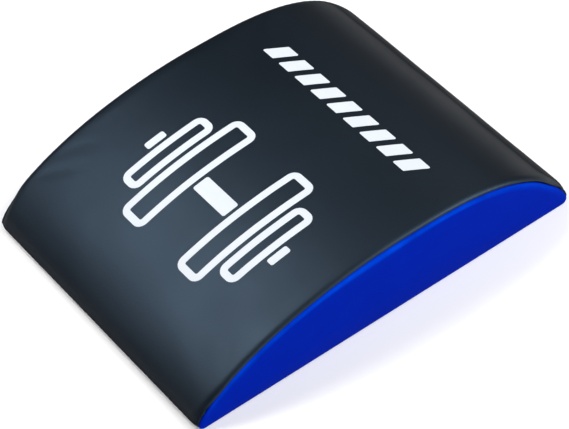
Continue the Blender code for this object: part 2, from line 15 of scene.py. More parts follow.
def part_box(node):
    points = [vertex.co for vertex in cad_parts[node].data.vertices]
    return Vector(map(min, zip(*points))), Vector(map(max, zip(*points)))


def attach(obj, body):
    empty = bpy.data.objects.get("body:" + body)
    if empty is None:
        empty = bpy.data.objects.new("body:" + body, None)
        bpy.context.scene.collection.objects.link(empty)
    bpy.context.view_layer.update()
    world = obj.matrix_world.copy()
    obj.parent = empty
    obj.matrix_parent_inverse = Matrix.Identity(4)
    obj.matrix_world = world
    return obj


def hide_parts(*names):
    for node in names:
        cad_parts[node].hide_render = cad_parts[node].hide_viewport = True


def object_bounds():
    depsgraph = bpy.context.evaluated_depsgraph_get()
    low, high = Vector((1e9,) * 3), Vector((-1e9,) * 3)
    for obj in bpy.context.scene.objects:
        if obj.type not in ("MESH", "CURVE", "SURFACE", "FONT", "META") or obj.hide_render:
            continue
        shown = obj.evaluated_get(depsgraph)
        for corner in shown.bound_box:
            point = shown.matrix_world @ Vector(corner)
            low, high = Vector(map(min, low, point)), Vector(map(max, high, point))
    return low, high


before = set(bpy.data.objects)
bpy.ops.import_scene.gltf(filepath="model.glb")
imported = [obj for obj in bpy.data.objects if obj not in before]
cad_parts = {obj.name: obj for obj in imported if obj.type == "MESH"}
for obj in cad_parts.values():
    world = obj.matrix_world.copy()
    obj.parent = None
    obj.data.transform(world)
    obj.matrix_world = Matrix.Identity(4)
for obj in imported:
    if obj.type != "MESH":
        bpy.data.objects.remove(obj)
cad_low, cad_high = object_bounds()

# Profile of the mat, as the solids have it
length = 0.381
height = cad_high.z
crest_share = 0.556
front_fullness = 1.966
front_steepness = 1.238
rear_fullness = 2.956
rear_steepness = 1.213
tip_radius = 0.004
corner_width = 0.010
corner_radius = 0.0125
corner_band = 0.035

# Vinyl and its seams
vinyl = 0.001
gap = 0.0003
seam_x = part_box("base_panel_front")[1].x
seam_roll = 0.0018
allowance = 0.004
flat_x = seam_x - seam_roll
flange_depth = seam_roll + allowance

# Side panels: a crowned face, and a rim that folds back, tucked in and a groove's depth below the shoulder
side_crown = 0.0025
crown_fullness = 2.2
rim_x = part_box("side_panel_right")[1].x - side_crown
corner_start = rim_x - corner_width
fold_radius = (rim_x - seam_x - gap) / 2
ring_spacing = 0.8
groove = 0.0010
tuck = 0.0014
tuck_size = 0.0018
# Painted highlight on the side panels: a lighter blue band this far below the upper seam, and this wide
highlight_band_offset = 0.0014
highlight_band_width = 0.0024

# Shoulder in which the cover rolls over each side, and its lip, which runs out first towards the tips
shoulder_radius = 0.0016
shoulder_width = 0.0060
shoulder_run = 0.045
lip_radius = 0.0013
lip_lag = 1.6
draw_in = 0.0008
soft_draw = 0.0004
draw_band = 0.012
top_x = rim_x - shoulder_radius
lip_depth = shoulder_radius + lip_radius
seam_drop = draw_in + lip_depth + gap

# How the cloth lies: puckered by the stitches beside its seams, and a little uneven between them
end_draw = 0.0007
end_draw_band = 0.014
pucker_depth = 0.00013
pucker_pitch = 0.0063
pucker_fade = 0.0045
pucker_wander = 3
pucker_change = 0.6
wander_size = 6 * pucker_pitch
change_size = 11 * pucker_pitch
change_seed = 5
wave_height = 0.00030
wave_size = 0.075
ripple_height = 0.00008
ripple_size = 0.021
edge_fade = 0.012
wave_seed = 3.1
ripple_seed = 8.4
cover_seam_seeds = (1.5, 4.5)
base_seam_seed = 7.5
side_seed = 11.5
tape_seed = 20.5

# Cloth simulation of the cover's face over the foam
cloth_cell = 0.0036
cloth_excess = 0.0001
cloth_pressure = 4.0
cloth_stiffness = 25.0
cloth_bending = 8.0
cloth_quality = 6
cloth_frames = 20
cloth_cap = 0.0010
seam_gather = 0.0001
gather_size = 0.030
gather_seeds = (31.5, 37.5)
short_of_last = 1.001

# Zip
zip_edges = (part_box("base_panel_front")[1].y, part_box("base_panel_rear")[0].y)
zip_y = sum(zip_edges) / 2
tape_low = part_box("zip_tape_front")[0]
tape_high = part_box("zip_tape_rear")[1]
coil_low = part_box("zip_coil_front")[0]
coil_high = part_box("zip_coil_front")[1]
coil_pitch = 0.0022
coil_wire = 0.00031
coil_squareness = 0.7
head_swell = 0.16
head_narrowness = 4
hem_lift = tape_low.z - gap - 2 * fold_radius
hem_width = 0.007
ramp_run = 0.012
slot_half = zip_y - zip_edges[0] + fold_radius
tape_edge = tape_high.y - zip_y
stitch_length = 0.0026
stitch_gap = 0.0008
stitch_radius = 0.00024
stitch_rows = (0.0032, 0.0092)
stitch_bluntness = 4
stitch_end_share = 0.05

# Print on the cover: an outlined dumbbell, and a row of slanted dashes nearer the thick end
print_thickness = 0.00012
print_lift = 0.00008
badge_x = 0.006
badge_distance = 0.1500
badge_stroke = 0.0068
inner_plate = (0.0405, 0.030, 0.128)
outer_plate = (0.0705, 0.022, 0.088)
end_stub = (0.0885, 0.0075, 0.020)
badge_bar = (0.044, 0.016)
plate_corner = 0.0085
bar_corner = 0.002
dash_distance = 0.2885
dash_size = (0.0150, 0.0200)
dash_x = -0.0015
dash_pitch = 0.0228
dash_count = 9
dash_slant = 0.0055
dash_corner = 0.0012

# Fineness of the meshes
profile_steps = 1200
arc_steps = 30
turn_steps = 8
roll_steps = 7
lip_steps = 6
fine_step = 0.0009
coarse_step = 0.0021
fine_zone = 0.012
side_rings = 26
wire_sides = 8
loop_steps = 20
stitch_sides = 6
stitch_steps = 7
foam_passes = 3
print_step = 0.003
sharp_angle = 40
weld_distance = 0.000001

# Looks of the vinyls: fine pores, a roughness that changes in smears, and where the gloss is lost
pores_per_grain = 2.6
smear_range = (-0.04, 0.05)
grazing_shares = (0.25, 0.75)
rubbed_gloss_share = 0.08

# Camera, fitted to the photograph's outline: angles in degrees, distances as shares of the mat's length
camera_azimuth = 60.607
camera_elevation = 45.482
camera_roll = -9.111
camera_distance_share = 5.9240
camera_height_share = 0.08
camera_shift_shares = (0.0151, -0.0574)
photo_width = 569
focal_pixels = 2706.5
sensor_width = 36.0

# Lights. A window panel is set by the cover's slope that mirrors it, that slope's place, and its radiance
window_panels = (
    (38, -0.165, 0.030, 1.3),
    (28, -0.130, 0.050, 6.6),
    (18, -0.090, 0.062, 8.4),
    (6, -0.030, 0.073, 0.8),
    (-12, 0.070, 0.073, 0.9),
)
window_shift = 0.22
window_distance = 1.1
window_size = 0.4
fills = (
    ("fill_rear", (0.45, 0.55, 0.70), 6.5),
    ("fill_side", (0.80, -0.30, 0.50), 2.6),
)
fill_distance = 1.9
fill_size = 1.3
world_light = 0.06
floor_half = 4.0


class Outline:
    """A closed outline in the YZ plane, read by the distance along it, with its inside on the right."""

    def __init__(self, points):
        self.points = np.vstack([points, points[:1]])
        steps = np.linalg.norm(np.diff(self.points, axis=0), axis=1)
        self.stations = np.concatenate([[0.0], np.cumsum(steps)])
        self.total = self.stations[-1]

    def at(self, distance):
        distance = np.mod(distance, self.total)
        return np.stack([np.interp(distance, self.stations, self.points[:, k]) for k in range(2)], axis=-1)

    def normal(self, distance):
        probe = self.total / profile_steps
        step = self.at(np.add(distance, probe)) - self.at(np.subtract(distance, probe))
        step = step / np.linalg.norm(step, axis=-1, keepdims=True)
        return np.stack([-step[..., 1], step[..., 0]], axis=-1)


def slope_curve():
    """The mat's top from tip to tip, as two quarters of a squared oval that meet at the crest."""
    turn = np.linspace(0, math.pi / 2, profile_steps)
    crest = crest_share * length
    front_y = -length / 2 + crest * (1 - np.sin(turn) ** (2 / front_fullness))
    front_z = height * np.cos(turn) ** front_steepness
    rear_y = -length / 2 + crest + (length - crest) * np.sin(turn) ** (2 / rear_fullness)
    rear_z = height * np.cos(turn) ** rear_steepness
    front = np.column_stack([front_y, front_z])[::-1]
    rear = np.column_stack([rear_y, rear_z])[1:]
    return np.vstack([front, rear])


def tip_arc(curve, floor_angle):
    """The arc that joins the floor to the curve's first point that it can touch, and that point's number."""
    along = np.gradient(curve, axis=0)
    along /= np.linalg.norm(along, axis=1)[:, None]
    outward = np.column_stack([-along[:, 1], along[:, 0]]) * np.sign(curve[-1, 0] - curve[0, 0])
    centres = curve - tip_radius * outward
    first = int(np.argmax(centres[:, 1] >= tip_radius))
    centre = np.array([centres[first, 0], tip_radius])
    touch = math.atan2(outward[first, 1], outward[first, 0]) % (2 * math.pi)
    angles = np.linspace(touch, floor_angle, 2 * arc_steps + 1)
    return centre + tip_radius * np.column_stack([np.cos(angles), np.sin(angles)]), first


def mat_outline():
    """The mat seen from its side. Distance 0 is the low seam, and the outline runs over the top first."""
    curve = slope_curve()
    low_arc, low_first = tip_arc(curve, math.pi * 3 / 2)
    high_arc, high_first = tip_arc(curve[::-1], -math.pi / 2)
    slope = curve[low_first:len(curve) - high_first]
    pieces = (
        low_arc[arc_steps::-1],
        slope[1:-1],
        high_arc[:arc_steps + 1],
        high_arc[arc_steps + 1:],
        low_arc[:arc_steps:-1],
    )
    points = np.vstack(pieces)
    points[:, 0] = (points[:, 0] - points[:, 0].min()) * length / np.ptp(points[:, 0]) - length / 2
    shape = Outline(points)
    counts = np.cumsum([len(piece) for piece in pieces])
    shape.slope_start = shape.stations[counts[0] - 1]
    shape.slope_end = shape.stations[counts[1]]
    shape.high_seam = shape.stations[counts[2] - 1]
    shape.floor_start = shape.stations[counts[3] - 1]
    shape.floor_end = shape.stations[counts[3]]
    return shape


outline = mat_outline()


def round_corners(points):
    """Draws the mat's four corners in, so that each is an arc when seen from above."""
    reach = np.clip(np.abs(points[..., 0]) - corner_start, 0, corner_width)
    drawn = corner_radius - np.sqrt(corner_radius ** 2 - reach ** 2)
    share = np.clip((np.abs(points[..., 1]) - (length / 2 - corner_band)) / corner_band, 0, 1)
    moved = points.copy()
    moved[..., 1] -= np.sign(points[..., 1]) * drawn * share * share * (3 - 2 * share)
    return moved


def smooth_noise(x, y, size, seed):
    """Even noise between about -1 and 1 over a surface, with bumps of about the size given."""
    flat = zip(np.ravel(x), np.ravel(y))
    values = [noise.noise(Vector((u / size, v / size, seed))) for u, v in flat]
    return np.array(values).reshape(np.shape(x))


def puckers(along, away, seed):
    """Small folds that run into a seam from its stitches, and are gone a few millimetres away."""
    wander = smooth_noise(along, away * 0, wander_size, seed)
    folds = 0.5 + 0.5 * np.sin(2 * math.pi * along / pucker_pitch + pucker_wander * wander)
    strength = 1 + pucker_change * smooth_noise(along, away * 0, change_size, seed + change_seed)
    return -pucker_depth * strength * folds * np.exp(-away / pucker_fade)


def spread(start, end):
    """Places from start to end, close together near both ends."""
    zone = min(fine_zone, (end - start) / 3)
    fine = max(2, round(zone / fine_step))
    coarse = max(2, round((end - start - 2 * zone) / coarse_step))
    return np.concatenate([
        np.linspace(start, start + zone, fine + 1)[:-1],
        np.linspace(start + zone, end - zone, coarse + 1)[:-1],
        np.linspace(end - zone, end, fine + 1),
    ])


def new_object(name, data):
    thing = bpy.data.objects.new(name, data)
    bpy.context.scene.collection.objects.link(thing)
    return thing


def mesh_object(name, points, faces, surface, edge=None):
    """A smooth mesh from points and faces, with an edge share for each point where that is given: nearness to
    an end seam, or a side panel's painted highlight band.
    """
    mesh = bpy.data.meshes.new(name)
    mesh.from_pydata([tuple(point) for point in points], [], faces)
    if edge is not None:
        attribute = mesh.attributes.new("edge", "FLOAT", "POINT")
        attribute.data.foreach_set("value", np.asarray(edge, np.float32))
    shape = bmesh.new()
    shape.from_mesh(mesh)
    bmesh.ops.remove_doubles(shape, verts=shape.verts, dist=weld_distance)
    loose = [vert for vert in shape.verts if not vert.link_faces]
    bmesh.ops.delete(shape, geom=loose, context="VERTS")
    shape.to_mesh(mesh)
    shape.free()
    mesh.shade_smooth()
    mesh.materials.append(surface)
    return new_object(name, mesh)


def thicken(panel):
    """Gives a panel the vinyl's thickness, inwards from its face."""
    solidify = panel.modifiers.new("vinyl", "SOLIDIFY")
    solidify.thickness = vinyl
    solidify.offset = -1
    solidify.use_even_offset = False


def dress(piece, node, body):
    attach(piece, body)
    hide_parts(node)


def shoulder_share(distance):
    """How much of a shoulder the cover has: none at the tips, and all of it a little way up each slope."""
    share = np.clip(np.minimum(distance, outline.high_seam - distance) / shoulder_run, 0, 1)
    return share * share * (3 - 2 * share)


@dataclass
class Row:
    """One line of a panel across the mat: its point, the way out of it, and the stretch of panel it begins.

    It also holds its distances from the end seam and along the outline, its share of a shoulder, and how
    deep its side allowances may reach.
    """

    point: object
    outward: object
    stretch: str
    away: float = 0.0
    along: float = 0.0
    shoulder: float = 0.0
    room: float = flange_depth


def reversed_rows(rows):
    """The same rows from the other end, each again naming the stretch that it begins."""
    begun = [row.stretch for row in rows[-2::-1]] + [rows[0].stretch]
    turned = rows[::-1]
    for row, stretch in zip(turned, begun):
        row.stretch = stretch
    return turned


def seam_rows(seam, way):
    """Rows that turn a panel into an end seam, from its raw edge out, and where it leaves the outline."""
    seam_point = outline.at(seam)
    facing = outline.normal(seam)
    along = way * np.array([facing[1], -facing[0]])
    for leave in np.linspace(0, 3 * (seam_roll + tip_radius), profile_steps):
        here = seam + way * leave
        outward = outline.normal(here)
        centre = outline.at(here) - seam_roll * outward
        if np.dot(centre - seam_point, along) >= seam_roll + gap / 2:
            break
    start = math.atan2(outward[1], outward[0])
    swing = math.atan2(outward[1] * along[0] - outward[0] * along[1], -np.dot(outward, along))
    rows = []
    for step in range(turn_steps, 0, -1):
        angle = start + swing * step / turn_steps
        ray = np.array([math.cos(angle), math.sin(angle)])
        if step == turn_steps:
            rows.append(Row(centre + seam_roll * ray - allowance * facing, ray, "flange"))
        rows.append(Row(centre + seam_roll * ray, ray, "turn"))
    return rows, leave


def panel_columns():
    """Places across a panel as they are at its ends, the same with full shoulders, and the stretches between.

    A place is its x, its depth below the mat's outline, and how far it is from where the panel turns down.
    """
    flat = spread(-flat_x, flat_x)
    full_flat = flat * top_x / flat_x
    away = flat_x - np.abs(flat)
    roll = np.linspace(0, math.pi / 2, roll_steps + 1)[1:]
    lip = np.linspace(0, math.pi / 2, lip_steps + 1)[1:]
    lip_z = draw_in + shoulder_radius
    bend = np.linspace(math.asin(1 - shoulder_radius / shoulder_width), math.pi / 2, roll_steps + 1)[1:]
    bend_x = rim_x - shoulder_width * (1 - np.sin(bend))

    def dip(x):
        """How deep the shouldered face lies at x: an ellipse at its side, and a little slack before it."""
        inset = rim_x - np.abs(x)
        turn = np.clip(1 - inset / shoulder_width, 0, 1)
        soft = soft_draw * np.clip(1 - inset / draw_band, 0, 1) ** 2
        return soft + (lip_z - soft_draw) * (1 - np.sqrt(1 - turn * turn))

    plain_x = np.concatenate([flat_x + seam_roll * np.sin(roll), np.full(lip_steps + 2, seam_x)])
    plain_depth = np.concatenate([
        seam_roll * (1 - np.cos(roll)),
        seam_roll + lip_radius * np.arange(1, lip_steps + 2) / (lip_steps + 1),
        [flange_depth],
    ])
    full_x = np.concatenate([bend_x, rim_x - lip_radius * (1 - np.cos(lip)), [seam_x, seam_x]])
    full_depth = np.concatenate([
        dip(bend_x),
        lip_z + lip_radius * np.sin(lip),
        [draw_in + lip_depth, flange_depth],
    ])

    def both_sides(flat_places, flat_depth, side_places, side_depth):
        none = np.zeros(len(side_places))
        return np.stack([
            np.concatenate([-side_places[::-1], flat_places, side_places]),
            np.concatenate([side_depth[::-1], flat_depth, side_depth]),
            np.concatenate([none, away, none]),
        ])

    plain = both_sides(flat, flat * 0, plain_x, plain_depth)
    full = both_sides(full_flat, dip(full_flat), full_x, full_depth)
    side = ["round"] * (roll_steps - 1) + ["roll"] + ["lip"] * (lip_steps + 1) + ["flange"]
    return plain, full, side[::-1] + ["flat"] * (len(flat) - 1) + side


def clear_span():
    """The stretch of Y where the mat is high enough for the upper and the lower seam allowances."""
    needed = 2 * (flange_depth + gap) + seam_drop
    high = outline.points[outline.points[:, 1] >= needed]
    return high[:, 0].min(), high[:, 0].max()


def is_kept(row, stretch, shouldered, span):
    """Whether the panel has faces here: its corners and thin tips have no room for every allowance."""
    if row.stretch in ("flange", "fold"):
        return stretch == "flat"
    if row.stretch == "turn":
        return stretch in ("flat", "round")
    if shouldered or stretch in ("flat", "round", "roll"):
        return True
    return row.stretch != "hem" and span[0] <= row.point[0] <= span[1]


def wrapped_panel(name, rows, surface, lift, shouldered):
    """A panel swept across the mat along its rows, with lift(along, away, x, side) added to its face."""
    plain, full, stretches = panel_columns()
    points = np.array([row.point for row in rows])
    outward = np.array([row.outward for row in rows])
    room = np.array([row.room for row in rows])[:, None]
    shoulder = np.array([row.shoulder for row in rows])[None, :, None]
    x, depth, away_side = plain[:, None, :] + shoulder * (full - plain)[:, None, :]
    along = np.array([row.along for row in rows])[:, None] + 0 * x
    if shouldered:
        over = seam_drop * shoulder_share(along) - gap
        depth = np.where(np.abs(x) > seam_x + weld_distance, np.minimum(depth, np.maximum(over, 0)), depth)
    away_end = np.array([row.away for row in rows])[:, None] + 0 * x
    total = np.minimum(depth, room) - lift(along, away_end, x, away_side)
    grid = np.empty((*x.shape, 3))
    grid[..., 0] = x
    grid[..., 1:] = points[:, None, :] - total[..., None] * outward[:, None, :]
    grid = round_corners(grid)
    edge = np.exp(-away_end / edge_fade)
    span = clear_span()
    wide = x.shape[1]
    faces = []
    for i, row in enumerate(rows[:-1]):
        for j, stretch in enumerate(stretches):
            if is_kept(row, stretch, shouldered, span):
                first = i * wide + j
                faces.append((first, first + 1, first + wide + 1, first + wide))
    panel = mesh_object(name, grid.reshape(-1, 3), faces, surface, edge.ravel())
    thicken(panel)
    return panel


class Settled:
    """How far each place of the cover's face has swollen, from a cloth simulation held along its seams."""

    def __init__(self, start, end, surface):
        self.across = np.linspace(-flat_x, flat_x, round(2 * flat_x / cloth_cell))
        self.along = np.linspace(start, end, round((end - start) / cloth_cell))
        self.lift = np.zeros((len(self.along), len(self.across)))
        self.simulate(surface)

    def simulate(self, surface):
        """Blows a sheet up over the foam's form, reads how far it has moved outwards, and caps that."""
        rows, wide = self.lift.shape
        x, along = np.meshgrid(self.across, self.along)
        outward = outline.normal(self.along)[:, None, :]
        sheet = np.empty((rows, wide, 3))
        sheet[..., 0] = x + seam_gather * smooth_noise(x, along, gather_size, gather_seeds[0])
        drawn = along + seam_gather * smooth_noise(x, along, gather_size, gather_seeds[1])
        sheet[..., 1:] = outline.at(drawn)
        sheet[..., 1:] += wave_height * smooth_noise(x, along, wave_size, wave_seed)[..., None] * outward
        starts = [i * wide + j for i in range(rows - 1) for j in range(wide - 1)]
        faces = [(k, k + 1, k + wide + 1, k + wide) for k in starts]
        cloth = mesh_object("settling_cloth", sheet.reshape(-1, 3), faces, surface)
        held = cloth.vertex_groups.new(name="seams")
        border = [i * wide + j for i in range(rows) for j in range(wide)
                  if i in (0, rows - 1) or j in (0, wide - 1)]
        held.add(border, 1.0, "REPLACE")
        settings = cloth.modifiers.new("cloth", "CLOTH").settings
        settings.quality = cloth_quality
        settings.vertex_group_mass = held.name
        settings.shrink_min = -cloth_excess
        settings.tension_stiffness = cloth_stiffness
        settings.compression_stiffness = cloth_stiffness
        settings.shear_stiffness = cloth_stiffness / 2
        settings.bending_stiffness = cloth_bending
        settings.use_pressure = True
        settings.uniform_pressure_force = cloth_pressure
        settings.effector_weights.gravity = 0
        scene = bpy.context.scene
        for number in range(1, cloth_frames + 1):
            scene.frame_set(number)
        posed = cloth.evaluated_get(bpy.context.evaluated_depsgraph_get()).data
        settled = np.array([vert.co for vert in posed.vertices]).reshape(sheet.shape)
        moved = ((settled - sheet)[..., 1:] * outward).sum(axis=-1)
        self.lift = moved * cloth_cap / max(cloth_cap, np.abs(moved).max())
        bpy.data.objects.remove(cloth, do_unlink=True)
        scene.frame_set(1)

    def at(self, x, along):
        """The swell at any place, between the simulated points."""
        spots = []
        for place, line in ((along, self.along), (x, self.across)):
            spot = np.clip((place - line[0]) / (line[1] - line[0]), 0, len(line) - short_of_last)
            spots.append((spot.astype(int), spot - spot.astype(int)))
        (i, v), (j, u) = spots
        low = (1 - u) * self.lift[i, j] + u * self.lift[i, j + 1]
        high = (1 - u) * self.lift[i + 1, j] + u * self.lift[i + 1, j + 1]
        return (1 - v) * low + v * high


def cover_lift(along, away_end, x, away_side):
    """How far the top cover stands proud of the profile, apart from its shoulders."""
    side = np.clip(1 - away_side / draw_band, 0, 1)
    end = np.clip(1 - away_end / end_draw_band, 0, 1)
    free = (1 - side ** 2) * (1 - end ** 2)
    lift = -end_draw * end ** 2 + free * cover_settled.at(x, along)
    lift = lift + wave_height * free * smooth_noise(x, along, wave_size, wave_seed)
    lift = lift + ripple_height * free * smooth_noise(x, along, ripple_size, ripple_seed)
    lift = lift + puckers(along + np.sign(x) * pucker_pitch / 3, away_side, cover_seam_seeds[0])
    return lift + puckers(x, away_end, cover_seam_seeds[1])


low_seam_rows, cover_start = seam_rows(0.0, 1)
high_seam_rows, high_leave = seam_rows(outline.high_seam, -1)
cover_end = outline.high_seam - high_leave


def top_cover(surface):
    """The black panel from the low seam over the crest to the high seam, with its shoulders."""
    for row in low_seam_rows:
        row.along = cover_start
    for row in high_seam_rows:
        row.along = cover_end
    rows = list(low_seam_rows)
    span = clear_span()
    distances = spread(cover_start, cover_end)
    for distance, place, outward in zip(distances, outline.at(distances), outline.normal(distances)):
        share = shoulder_share(distance)
        room = flange_depth
        if not span[0] <= place[0] <= span[1]:
            room = max(seam_roll + lip_radius, seam_drop * share + fold_radius) + 2 * gap
        away = min(distance - cover_start, cover_end - distance)
        rows.append(Row(place, outward, "face", away, distance, share ** lip_lag, room))
    rows[-1].stretch = "turn"
    rows += reversed_rows(high_seam_rows)
    panel = wrapped_panel("top_cover_vinyl", rows, surface, cover_lift, True)
    dress(panel, "top_cover", "mat")


def cover_point(x, distance, lift):
    """The place on the top cover at x and a distance from the low seam, raised by lift."""
    away_end = np.minimum(distance - cover_start, cover_end - distance)
    raised = cover_lift(distance, away_end, x, flat_x - np.abs(x)) + lift
    flat = outline.at(distance) + raised[..., None] * outline.normal(distance)
    return np.concatenate([np.asarray(x)[..., None], flat], axis=-1)


def base_lift(along, away_end, x, away_side):
    """The base lies flat on the floor, and only its seams show."""
    return np.minimum(puckers(x, away_end, base_seam_seed), 0)


def hem_rows(way):
    """Rows of a base panel's zipped edge: up the ramp, along under the tape, and folded back over itself."""
    rows = []
    edge_y = zip_y - way * slot_half
    for share in np.linspace(0, 1, 3 * roll_steps):
        y = edge_y - way * (tape_edge + vinyl - slot_half + ramp_run * (1 - share))
        z = hem_lift * (1 - math.cos(math.pi * share)) / 2
        rise = math.atan2(hem_lift * math.pi / 2 * math.sin(math.pi * share), ramp_run)
        rows.append(Row((y, z), (way * math.sin(rise), -math.cos(rise)), "hem", fine_zone))
    for angle in np.linspace(0, math.pi, turn_steps + 1):
        ray = np.array([way * math.sin(angle), -math.cos(angle)])
        place = np.array([edge_y, hem_lift + fold_radius]) + fold_radius * ray
        rows.append(Row(place, ray, "fold", fine_zone))
    rows.append(Row((edge_y - way * hem_width, hem_lift + 2 * fold_radius), (0, 1), "fold", fine_zone))
    return rows


def base_panel(name, seam, way, surface):
    """The underside from an end seam to the zip. The panel runs from its seam towards Y the given way."""
    rows, leave = seam_rows(seam, -way)
    bend = outline.total - outline.floor_end if way > 0 else outline.floor_start - outline.high_seam
    if bend - leave > vinyl:
        for distance in np.linspace(leave, bend, roll_steps + 1)[:-1]:
            here = seam - way * distance
            rows.append(Row(outline.at(here), outline.normal(here), "face", distance - leave))
    hem = hem_rows(way)
    start_y = outline.at(seam - way * max(leave, bend))[0]
    floor_y = spread(min(start_y, hem[0].point[0]), max(start_y, hem[0].point[0]))
    if way < 0:
        floor_y = floor_y[::-1]
    for y in floor_y[:-1]:
        rows.append(Row((y, 0.0), (0, -1), "face", abs(y - start_y) + bend))
    rows += hem
    if way > 0:
        rows = reversed_rows(rows)
    panel = wrapped_panel(name + "_vinyl", rows, surface, base_lift, False)
    dress(panel, name, "mat")


def side_panel(name, side, surface):
    """A crowned D-shaped panel whose rim lies under the cover's shoulder and folds back, with a painted
    highlight band just under its upper seam.
    """
    slope_steps = round((outline.slope_end - outline.slope_start) / coarse_step)
    stretches = (
        (0.0, outline.slope_start, arc_steps // 2),
        (outline.slope_start, outline.slope_end, slope_steps),
        (outline.slope_end, outline.floor_start, arc_steps),
        (outline.floor_start, outline.floor_end, round(length / (2 * coarse_step))),
        (outline.floor_end, outline.total, arc_steps // 2),
    )
    distances = np.concatenate([np.linspace(start, end, count + 1)[:-1] for start, end, count in stretches])
    outward = outline.normal(distances)
    upper = shoulder_share(distances)
    rim = outline.at(distances) - (seam_drop + groove) * upper[:, None] * outward
    middle = np.array([0.0, height * crest_share * 2 / 3])
    seed = side_seed + side
    rings = [(np.full(len(rim), rim_x - 2 * fold_radius), rim - (fold_radius + allowance) * outward)]
    # edge holds a painted highlight here: lighter blue just under the upper seam, where the rolled rim would
    # catch light from above, and none along the floor
    edge = [0 * upper]
    face = rim - fold_radius * outward
    for angle in np.linspace(0, math.pi, turn_steps + 3):
        depth = fold_radius * (1 - math.sin(angle))
        turned = rim_x - fold_radius * (1 + math.cos(angle)) - tuck * upper * (1 - math.cos(angle)) / 2
        rings.append((turned, rim - depth * outward))
        edge.append(upper * math.exp(-((fold_radius - depth + highlight_band_offset) / highlight_band_width) ** 2))
    for share in np.linspace(1, 0, side_rings + 1)[1:-1] ** ring_spacing:
        ring = middle + share * (face - middle)
        away = np.linalg.norm(ring - face, axis=1)
        crown = side_crown * (1 - share ** crown_fullness)
        fade = 1 - np.exp(-away / draw_band)
        waves = wave_height * fade * smooth_noise(ring[:, 0], ring[:, 1], wave_size / 2, seed)
        at_seam = puckers(distances, 0 * away, seed) * np.exp(-away / fine_step)
        folds = puckers(distances, away, seed) - at_seam
        tucked = tuck * upper * np.exp(-(away / tuck_size) ** 2)
        rings.append((rim_x + crown + waves + folds - tucked, ring))
        edge.append(upper * np.exp(-((away - highlight_band_offset) / highlight_band_width) ** 2))
    points = np.array([np.column_stack([side * x, ring]) for x, ring in rings])
    hub = np.array([side * (rim_x + side_crown), *middle])
    points = round_corners(np.vstack([points.reshape(-1, 3), hub]))
    count = len(rim)
    span = clear_span()
    faces = []
    for k in range(len(rings)):
        for i in range(count):
            j = (i + 1) % count
            if k == 0 and not span[0] <= rim[i, 0] <= span[1]:
                continue
            low = k * count
            high = low + count
            corners = (low + i, high + i, high + j, low + j)
            if k == len(rings) - 1:
                corners = (low + i, len(points) - 1, low + j)
            faces.append(corners if side > 0 else corners[::-1])
    panel = mesh_object(name + "_vinyl", points, faces, surface, np.append(np.concatenate(edge), 0.0))
    thicken(panel)
    dress(panel, name, "mat")


def foam_core(surface):
    """The moulded core: the solid's own form with its facets smoothed away."""
    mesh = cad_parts["foam_core"].data.copy()
    mesh.materials.clear()
    mesh.materials.append(surface)
    foam = new_object("moulded_foam", mesh)
    remesh = foam.modifiers.new("even", "REMESH")
    remesh.mode = "VOXEL"
    remesh.voxel_size = coarse_step
    remesh.use_smooth_shade = True
    smooth = foam.modifiers.new("soft", "SMOOTH")
    smooth.iterations = foam_passes
    dress(foam, "foam_core", "mat")


def tube(path, radii, sides):
    """Points and faces of a closed tube along a path, with a radius at each of its points."""
    path = np.asarray(path)
    along = np.gradient(path, axis=0)
    along /= np.linalg.norm(along, axis=1)[:, None]
    normal = np.cross(along[0], (0.0, 0.0, 1.0))
    if np.linalg.norm(normal) < weld_distance:
        normal = np.array((1.0, 0.0, 0.0))
    points = []
    for centre, way, radius in zip(path, along, radii):
        normal = normal - np.dot(normal, way) * way
        normal /= np.linalg.norm(normal)
        other = np.cross(way, normal)
        for k in range(sides):
            angle = 2 * math.pi * k / sides
            points.append(centre + radius * (math.cos(angle) * normal + math.sin(angle) * other))
    faces = []
    for i in range(len(path) - 1):
        for k in range(sides):
            j = (k + 1) % sides
            faces.append((i * sides + k, i * sides + j, (i + 1) * sides + j, (i + 1) * sides + k))
    faces.append(tuple(range(sides))[::-1])
    faces.append(tuple((len(path) - 1) * sides + k for k in range(sides)))
    return points, faces


def zip_coil(name, side, shift, surface):
    """A wound nylon coil, flattened, whose heads pass between those of the coil it faces."""
    low_x, high_x = coil_low.x + coil_pitch, coil_high.x - coil_pitch / 2
    half_width = (coil_high.y - coil_low.y) / 2 - coil_wire
    outer = side * (zip_y - coil_low.y)
    centre_y = zip_y + outer - side * (half_width + coil_wire)
    centre_z = (coil_low.z + coil_high.z) / 2
    half_height = (coil_high.z - coil_low.z) / 2 - coil_wire
    turns = int((high_x - low_x) / coil_pitch)
    angle = np.linspace(0, 2 * math.pi * turns, turns * loop_steps + 1)
    head = -np.cos(angle)
    squared = np.sign(head) * np.abs(head) ** coil_squareness
    path = np.column_stack([
        low_x + shift * coil_pitch + coil_pitch * angle / (2 * math.pi),
        centre_y - side * half_width * squared,
        centre_z + half_height * np.sin(angle),
    ])
    radii = coil_wire * (1 + head_swell * np.maximum(head, 0) ** head_narrowness)
    points, faces = tube(path, radii, wire_sides)
    coil = mesh_object(name + "_winding", points, faces, surface)
    dress(coil, name, "mat")


